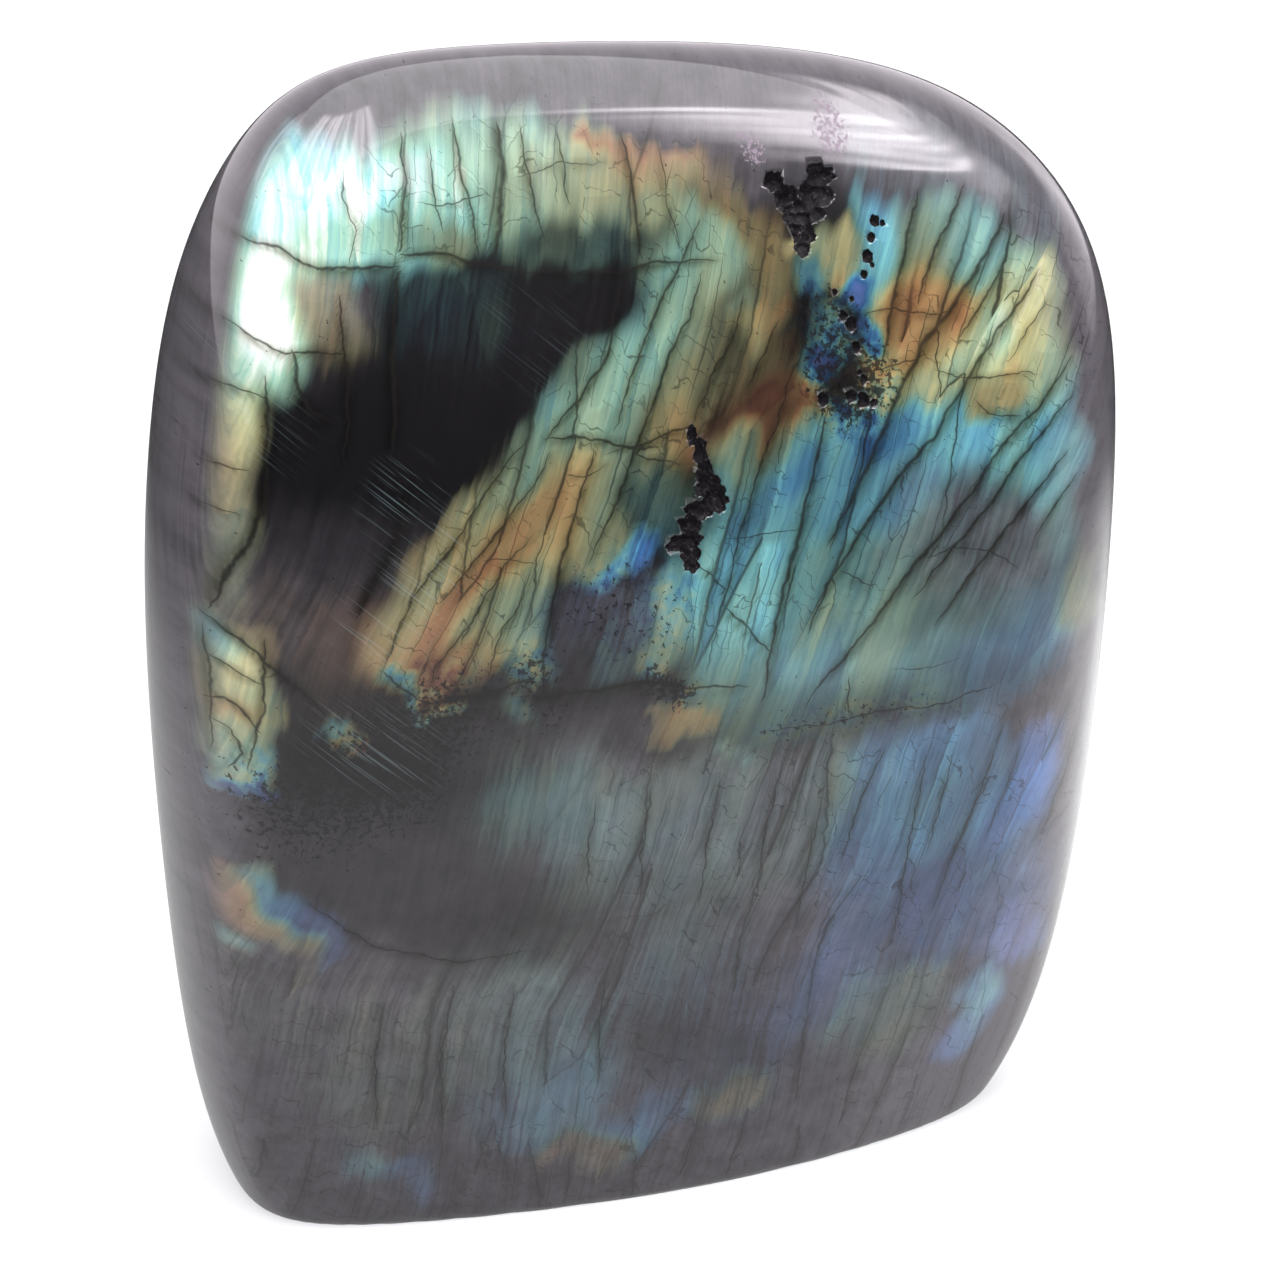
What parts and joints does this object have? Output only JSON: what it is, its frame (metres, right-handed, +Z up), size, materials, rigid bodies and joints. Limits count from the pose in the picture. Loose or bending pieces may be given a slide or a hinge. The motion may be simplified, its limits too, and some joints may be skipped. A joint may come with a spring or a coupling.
{
  "type": "labradorite freeform",
  "caption": "Upright polished labradorite freeform, a soft-edged slab with a sawn flat base and natural pits in its front.",
  "frame": {"origin": "middle of the sawn base, on the surface that the stone stands on", "axes": "+Z up, +X to the right as seen from the front, front face towards -Y"},
  "size_m": [0.1156, 0.0528, 0.1392],
  "materials": {
    "labradorite": "polished"
  },
  "bodies": {
    "root": {"stone": "labradorite"}
  },
  "joints": []
}
